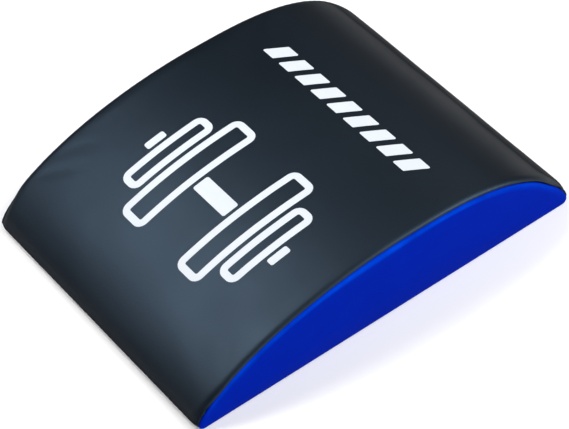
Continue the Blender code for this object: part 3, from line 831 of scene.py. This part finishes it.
def zip_tape(name, side, surface):
    """A woven tape, a little uneven."""
    low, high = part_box(name)
    x = np.linspace(low.x, high.x, round((high.x - low.x) / coarse_step))
    y = np.linspace(low.y, high.y, round((high.y - low.y) / fine_step))
    across, along = np.meshgrid(x, y, indexing="ij")
    sag = ripple_height * np.minimum(smooth_noise(across, along, ripple_size, tape_seed + side), 0)
    points = []
    for z in (low.z, high.z):
        points.append(np.stack([across, along, z + sag], axis=-1).reshape(-1, 3))
    rows, wide = len(x), len(y)
    count = rows * wide
    faces = []
    for i in range(rows - 1):
        for j in range(wide - 1):
            first = i * wide + j
            quad = (first, first + wide, first + wide + 1, first + 1)
            faces.append(tuple(k + count for k in quad))
            faces.append(quad[::-1])
    border = [i * wide for i in range(rows)] + [(rows - 1) * wide + j for j in range(1, wide)]
    border += [i * wide + wide - 1 for i in range(rows - 2, -1, -1)] + list(range(wide - 2, 0, -1))
    for k, here in enumerate(border):
        after = border[(k + 1) % len(border)]
        faces.append((here, after, after + count, here + count))
    tape = mesh_object(name + "_weave", np.vstack(points), faces, surface)
    dress(tape, name, "mat")


def hem_stitches(name, way, surface):
    """Two rows of thread that hold a hem to its tape, seen from below."""
    points, faces = [], []
    profile = np.linspace(0, 1, stitch_steps)
    radii = stitch_radius * np.sqrt(np.clip(1 - (2 * profile - 1) ** stitch_bluntness, stitch_end_share, 1))
    pitch = stitch_length + stitch_gap
    count = int((seam_x - seam_roll) * 2 / pitch)
    for inset in stitch_rows:
        y = zip_y - way * (slot_half + inset)
        start = -count * pitch / 2
        for k in range(count):
            x = start + k * pitch + profile * stitch_length
            z = hem_lift - stitch_radius / 3 + stitch_radius / 2 * (2 * profile - 1) ** 2
            made, built = tube(np.column_stack([x, np.full_like(x, y), z]), radii, stitch_sides)
            faces += [tuple(index + len(points) for index in face) for face in built]
            points += made
    thread = mesh_object(name, points, faces, surface)
    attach(thread, "mat")


def rounded(corners, radius):
    """A closed outline with each corner turned into an arc."""
    points = []
    for k, corner in enumerate(corners):
        here = Vector(corner)
        before = (Vector(corners[k - 1]) - here).normalized()
        after = (Vector(corners[(k + 1) % len(corners)]) - here).normalized()
        half = before.angle(after) / 2
        centre = here + (before + after).normalized() * radius / math.sin(half)
        start = here + before * radius / math.tan(half) - centre
        end = here + after * radius / math.tan(half) - centre
        for share in np.linspace(0, 1, roll_steps):
            points.append(centre + start.lerp(end, share).normalized() * radius)
    return points


def rectangle(x, y, wide, high, radius, slant=0.0):
    """The outline of a rounded rectangle about x and y, its ends pushed apart sideways by a slant."""
    low, left = y - high / 2, x - wide / 2
    corners = [(left - slant, low), (left + wide - slant, low)]
    corners += [(left + wide + slant, low + high), (left + slant, low + high)]
    return rounded(corners, radius)


def print_outlines():
    """The print laid flat, as x and distance from the low seam. Inner outlines are bare."""
    outlines = []
    for side in (-1, 1):
        for x, wide, high in (inner_plate, outer_plate):
            place = (badge_x + side * x, badge_distance)
            inside = (wide - 2 * badge_stroke, high - 2 * badge_stroke)
            outlines.append(rectangle(*place, wide, high, plate_corner))
            outlines.append(rectangle(*place, *inside, min(plate_corner - badge_stroke, inside[0] / 3)))
        outlines.append(rectangle(badge_x + side * end_stub[0], badge_distance, *end_stub[1:], bar_corner))
    outlines.append(rectangle(badge_x, badge_distance, *badge_bar, bar_corner))
    for k in range(dash_count):
        x = dash_x + (k - (dash_count - 1) / 2) * dash_pitch
        outlines.append(rectangle(x, dash_distance, *dash_size, dash_corner, dash_slant))
    return outlines


def flat_print():
    """The print as a thin flat plate, cut to its outlines."""
    curve = bpy.data.curves.new("print", "CURVE")
    curve.dimensions = "2D"
    curve.fill_mode = "BOTH"
    curve.extrude = print_thickness / 2
    for loop in print_outlines():
        spline = curve.splines.new("POLY")
        spline.points.add(len(loop) - 1)
        for point, (x, y) in zip(spline.points, loop):
            point.co = (x, y, 0, 1)
        spline.use_cyclic_u = True
    drawn = new_object("print", curve)
    bpy.context.view_layer.update()
    mesh = bpy.data.meshes.new_from_object(drawn.evaluated_get(bpy.context.evaluated_depsgraph_get()))
    bpy.data.objects.remove(drawn, do_unlink=True)
    return mesh


def cover_print(surface):
    """The ink on the cover: the flat print, divided finely and laid over the vinyl."""
    mesh = flat_print()
    shape = bmesh.new()
    shape.from_mesh(mesh)
    bmesh.ops.remove_doubles(shape, verts=shape.verts, dist=weld_distance)
    lows = [min(vert.co[k] for vert in shape.verts) for k in range(2)]
    highs = [max(vert.co[k] for vert in shape.verts) for k in range(2)]
    for axis in range(2):
        normal = Vector((axis == 0, axis == 1, 0))
        for place in np.arange(lows[axis], highs[axis], print_step)[1:]:
            parts = shape.verts[:] + shape.edges[:] + shape.faces[:]
            bmesh.ops.bisect_plane(shape, geom=parts, plane_co=normal * place, plane_no=normal)
    flat = np.array([vert.co for vert in shape.verts])
    placed = cover_point(flat[:, 0], flat[:, 1], flat[:, 2] + print_lift)
    for vert, place in zip(shape.verts, placed):
        vert.co = place
    bmesh.ops.recalc_face_normals(shape, faces=shape.faces)
    shape.to_mesh(mesh)
    shape.free()
    mesh.materials.clear()
    mesh.materials.append(surface)
    mesh.shade_smooth()
    mesh.set_sharp_from_angle(angle=math.radians(sharp_angle))
    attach(new_object("cover_print", mesh), "mat")


class Finish:
    """A material being made, with short ways to add nodes and to lead them into its shader."""

    def __init__(self, name, roughness, specular, metallic=0.0):
        self.surface = bpy.data.materials.new(name)
        self.surface.use_nodes = True
        self.tree = self.surface.node_tree
        self.shader = self.tree.nodes["Principled BSDF"]
        self.shader.inputs["Roughness"].default_value = roughness
        self.shader.inputs["Specular IOR Level"].default_value = specular
        self.shader.inputs["Metallic"].default_value = metallic
        self.place = self.add("TexCoord").outputs["Object"]

    def add(self, kind, values=None, **settings):
        """A node with its settings, and a value or a link for each socket that is named."""
        node = self.tree.nodes.new("ShaderNode" + kind)
        for key, value in settings.items():
            setattr(node, key, value)
        for key, value in (values or {}).items():
            if isinstance(value, bpy.types.NodeSocket):
                self.tree.links.new(value, node.inputs[key])
            else:
                node.inputs[key].default_value = value
        return node

    def lead(self, name, socket):
        """Links a node's output to one of the shader's sockets."""
        self.tree.links.new(socket, self.shader.inputs[name])

    def noise(self, scale, detail, roughness=0.5):
        values = {"Vector": self.place, "Scale": scale, "Detail": detail, "Roughness": roughness}
        return self.add("TexNoise", values).outputs["Fac"]

    def cells(self, scale, feature="F1"):
        node = self.add("TexVoronoi", {"Vector": self.place, "Scale": scale}, feature=feature)
        return node.outputs["Distance"]

    def waves(self, scale, direction):
        values = {"Vector": self.place, "Scale": scale, "Distortion": 0.4}
        return self.add("TexWave", values, bands_direction=direction).outputs["Fac"]

    def combined(self, one, other, operation):
        return self.add("Math", {0: one, 1: other}, operation=operation).outputs[0]

    def mapped(self, value, low, high, start=0.0, end=1.0):
        """Low where the value is at its start, high where it is at its end, and even between."""
        values = {"Value": value, "From Min": start, "From Max": end, "To Min": low, "To Max": high}
        return self.add("MapRange", values).outputs[0]

    def colour(self, share, low, high):
        """A colour between low and high by a share from another node. Low may come from a node too."""
        low = low if isinstance(low, bpy.types.NodeSocket) else (*low, 1.0)
        return self.add("Mix", {0: share, 6: low, 7: (*high, 1.0)}, data_type="RGBA").outputs[2]

    def relief(self, height, strength, distance):
        """Bumps the surface by a height from another node."""
        bump = self.add("Bump", {"Height": height, "Strength": strength, "Distance": distance})
        self.lead("Normal", bump.outputs["Normal"])


def vinyl_material(name, low, high, lightened, roughness, gloss, sheen, grain, depth, low_gloss=None):
    """Embossed vinyl: a pebbled grain, uneven colour, and a lighter colour by the edge share: wear at end
    seams, painted highlight under a side panel's upper seam.

    Where low_gloss is given, the gloss falls off to it at grazing angles and is dulled by the edge share:
    rubbed at the cover's end seams, and in the side panels' painted highlight band.
    """
    finish = Finish(name, roughness, gloss)
    finish.shader.inputs["Specular Tint"].default_value = (*sheen, 1.0)
    edge = finish.add("Attribute", attribute_name="edge").outputs["Fac"]
    if low_gloss is not None:
        turned = finish.add("LayerWeight", {"Blend": 0.5}).outputs["Facing"]
        dulled = finish.mapped(turned, gloss, low_gloss, *grazing_shares)
        kept = finish.mapped(edge, 1.0, rubbed_gloss_share)
        finish.lead("Specular IOR Level", finish.combined(dulled, kept, "MULTIPLY"))
    pebbles = finish.cells(1 / grain, "SMOOTH_F1")
    pores = finish.noise(pores_per_grain / grain, 3.0)
    finish.relief(finish.combined(pebbles, pores, "ADD"), 0.55, depth)
    patches = finish.noise(34.0, 4.0, 0.6)
    # The edge share, broken up by patches, mixes in the lightened colour: wear at the cover's and base's end
    # seams, and a painted highlight under the blue side panels' upper seam
    wear_and_highlight = finish.combined(edge, patches, "MULTIPLY")
    finish.lead("Base Color", finish.colour(wear_and_highlight, finish.colour(patches, low, high), lightened))
    smears = finish.noise(11.0, 2.0)
    smeared = (roughness + smear_range[0], roughness + smear_range[1])
    finish.lead("Roughness", finish.mapped(smears, *smeared, 0.3, 0.7))
    return finish.surface


def black_vinyl():
    return vinyl_material(
        "black_vinyl", low=(0.0030, 0.0046, 0.0070), high=(0.0042, 0.0064, 0.0096),
        lightened=(0.0044, 0.0062, 0.0088), roughness=0.43, gloss=0.49, sheen=(0.45, 0.70, 1.0),
        grain=0.0011, depth=0.00009, low_gloss=0.005,
    )


def blue_vinyl():
    # lightened here is a painted highlight: a far lighter blue for the band under the upper seam
    return vinyl_material(
        "blue_vinyl", low=(0.0, 0.0108, 0.280), high=(0.0, 0.0132, 0.330), lightened=(0.0, 0.080, 0.80),
        roughness=0.42, gloss=0.015, sheen=(0.0, 0.35, 1.0), grain=0.0011, depth=0.00009, low_gloss=0.0,
    )


def base_vinyl():
    return vinyl_material(
        "base_vinyl", low=(0.0055, 0.0063, 0.0075), high=(0.0085, 0.0095, 0.0105),
        lightened=(0.012, 0.0125, 0.013), roughness=0.55, gloss=0.30, sheen=(0.8, 0.9, 1.0),
        grain=0.0016, depth=0.00016,
    )


def ink_material():
    """White ink, a little uneven, over the vinyl's fine grain."""
    finish = Finish("white_ink", roughness=0.5, specular=0.35)
    patches = finish.noise(60.0, 5.0)
    finish.lead("Base Color", finish.colour(patches, (0.60, 0.64, 0.68), (0.65, 0.69, 0.73)))
    finish.relief(finish.cells(1200.0, "SMOOTH_F1"), 0.3, 0.00005)
    return finish.surface


def weave_material(name, low, high, pitch):
    """Woven polyester: warp and weft as two crossed sets of ridges, painted darker where the ridges are low,
    as shade between the threads.
    """
    finish = Finish(name, roughness=0.85, specular=0.25)
    scale = 1 / (pitch * 2 * math.pi)
    woven = finish.combined(finish.waves(scale, "X"), finish.waves(scale, "Y"), "MULTIPLY")
    # Painted shade: the colour is darkest where the weave's relief is lowest, between the threads
    finish.lead("Base Color", finish.colour(woven, low, high))
    finish.relief(woven, 0.8, 0.0001)
    return finish.surface


def foam_material():
    """Dark foam with small open cells, each painted darker towards its sunken middle as shade."""
    finish = Finish("foam_cells", roughness=0.95, specular=0.1)
    cells = finish.cells(900.0)
    # Painted shade: each cell is darker where its pit is deepest
    finish.lead("Base Color", finish.colour(cells, (0.05, 0.05, 0.053), (0.12, 0.12, 0.125)))
    finish.relief(cells, 0.9, 0.0003)
    return finish.surface


def nylon_material():
    """Black nylon wire with faint streaks."""
    finish = Finish("coil_nylon", roughness=0.38, specular=0.5)
    streaks = finish.noise(700.0, 3.0)
    finish.lead("Base Color", finish.colour(streaks, (0.010, 0.010, 0.011), (0.028, 0.028, 0.030)))
    finish.lead("Roughness", finish.mapped(streaks, 0.3, 0.5))
    return finish.surface


def lacquer_material():
    """Die-cast zinc under a dark lacquer that is rubbed thin in places."""
    finish = Finish("dark_lacquer", roughness=0.34, specular=0.5, metallic=1.0)
    rubbed = finish.noise(420.0, 6.0, 0.65)
    lightened = finish.mapped(rubbed, 0.0, 1.0, 0.5, 0.72)
    finish.lead("Base Color", finish.colour(lightened, (0.10, 0.10, 0.108), (0.34, 0.33, 0.31)))
    finish.lead("Roughness", finish.mapped(rubbed, 0.24, 0.5))
    finish.relief(rubbed, 0.25, 0.00005)
    return finish.surface


def floor_material():
    """Pale and even."""
    finish = Finish("floor", roughness=0.8, specular=0.1)
    patches = finish.noise(3.0, 3.0)
    finish.lead("Base Color", finish.colour(patches, (0.93, 0.93, 0.935), (0.95, 0.95, 0.95)))
    return finish.surface


def carried_over(names, surface):
    """CAD nodes whose shape is right: they get their finish, and a smooth shade over their small facets."""
    for name in names:
        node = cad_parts[name]
        node.data.materials.clear()
        node.data.materials.append(surface)
        weld = node.modifiers.new("weld", "WELD")
        weld.merge_threshold = weld_distance


def build_mat(black):
    """All pieces of the mat, from the cover down to the zip."""
    blue = blue_vinyl()
    base = base_vinyl()
    thread = weave_material("thread", (0.004, 0.004, 0.0045), (0.016, 0.016, 0.018), 0.0004)
    top_cover(black)
    cover_print(ink_material())
    for name, side in (("side_panel_right", 1), ("side_panel_left", -1)):
        side_panel(name, side, blue)
    base_panel("base_panel_front", outline.total, 1, base)
    base_panel("base_panel_rear", outline.high_seam, -1, base)
    foam_core(foam_material())
    tape = weave_material("tape_weave", (0.006, 0.006, 0.007), (0.022, 0.022, 0.025), 0.0005)
    nylon = nylon_material()
    for name, side, shift in (("front", -1, 0.0), ("rear", 1, 0.5)):
        zip_tape("zip_tape_" + name, side, tape)
        zip_coil("zip_coil_" + name, side, shift, nylon)
        hem_stitches("hem_thread_" + name, -side, thread)
    carried_over(("zip_slider", "zip_pull"), lacquer_material())


def toward_camera():
    """The direction from the mat to the camera."""
    azimuth, elevation = math.radians(camera_azimuth), math.radians(camera_elevation)
    return Vector((math.sin(azimuth) * math.cos(elevation), -math.cos(azimuth) * math.cos(elevation),
                   math.sin(elevation)))


def camera():
    """The camera at the photograph's angle, turned about its axis by the roll."""
    azimuth, roll = math.radians(camera_azimuth), math.radians(camera_roll)
    back = toward_camera()
    level = Vector((math.cos(azimuth), math.sin(azimuth), 0))
    upright = back.cross(level)
    right = math.cos(roll) * level + math.sin(roll) * upright
    up = -math.sin(roll) * level + math.cos(roll) * upright
    target = Vector((0, 0, camera_height_share * length))
    target += (camera_shift_shares[0] * right + camera_shift_shares[1] * up) * length
    eye = new_object("camera", bpy.data.cameras.new("camera"))
    eye.matrix_world = Matrix((right, up, back)).transposed().to_4x4()
    eye.location = target + camera_distance_share * length * back
    eye.data.sensor_width = sensor_width
    eye.data.lens = focal_pixels * sensor_width / photo_width
    bpy.context.scene.camera = eye


def soft_light(name, place, aim, size, radiance):
    """A square light at a place, turned to what it lights, with its brightness as radiance."""
    lamp = bpy.data.lights.new(name, "AREA")
    lamp.size = size
    lamp.energy = radiance * math.pi * size * size
    light = new_object(name, lamp)
    light.location = place
    light.rotation_euler = (light.location - Vector(aim)).to_track_quat("Z", "Y").to_euler()


def studio():
    """A pale floor, a curved window of soft panels that the cover mirrors, and broad fills beside it."""
    corners = [(x * floor_half, y * floor_half, -gap) for x, y in ((-1, -1), (1, -1), (1, 1), (-1, 1))]
    floor = mesh_object("floor", corners, [(0, 1, 2, 3)], floor_material())
    world = bpy.data.worlds.new("studio")
    world.use_nodes = True
    background = world.node_tree.nodes["Background"]
    background.inputs["Color"].default_value = (1.0, 1.0, 1.0, 1.0)
    background.inputs["Strength"].default_value = world_light
    bpy.context.scene.world = world
    seen_from = toward_camera()
    middle = (0, 0, height / 2)
    for slope, y, z, radiance in window_panels:
        tilt = math.radians(slope)
        facing = Vector((0, -math.sin(tilt), math.cos(tilt)))
        mirrored = 2 * facing.dot(seen_from) * facing - seen_from
        place = Vector((window_shift, y, z)) + window_distance * mirrored
        soft_light(f"window_{slope}", place, middle, window_size, radiance)
    for name, toward, radiance in fills:
        soft_light(name, Vector(toward).normalized() * fill_distance, middle, fill_size, radiance)
    bpy.context.scene.view_settings.view_transform = "Standard"


black = black_vinyl()
cover_settled = Settled(cover_start, cover_end, black)
build_mat(black)
camera()
studio()
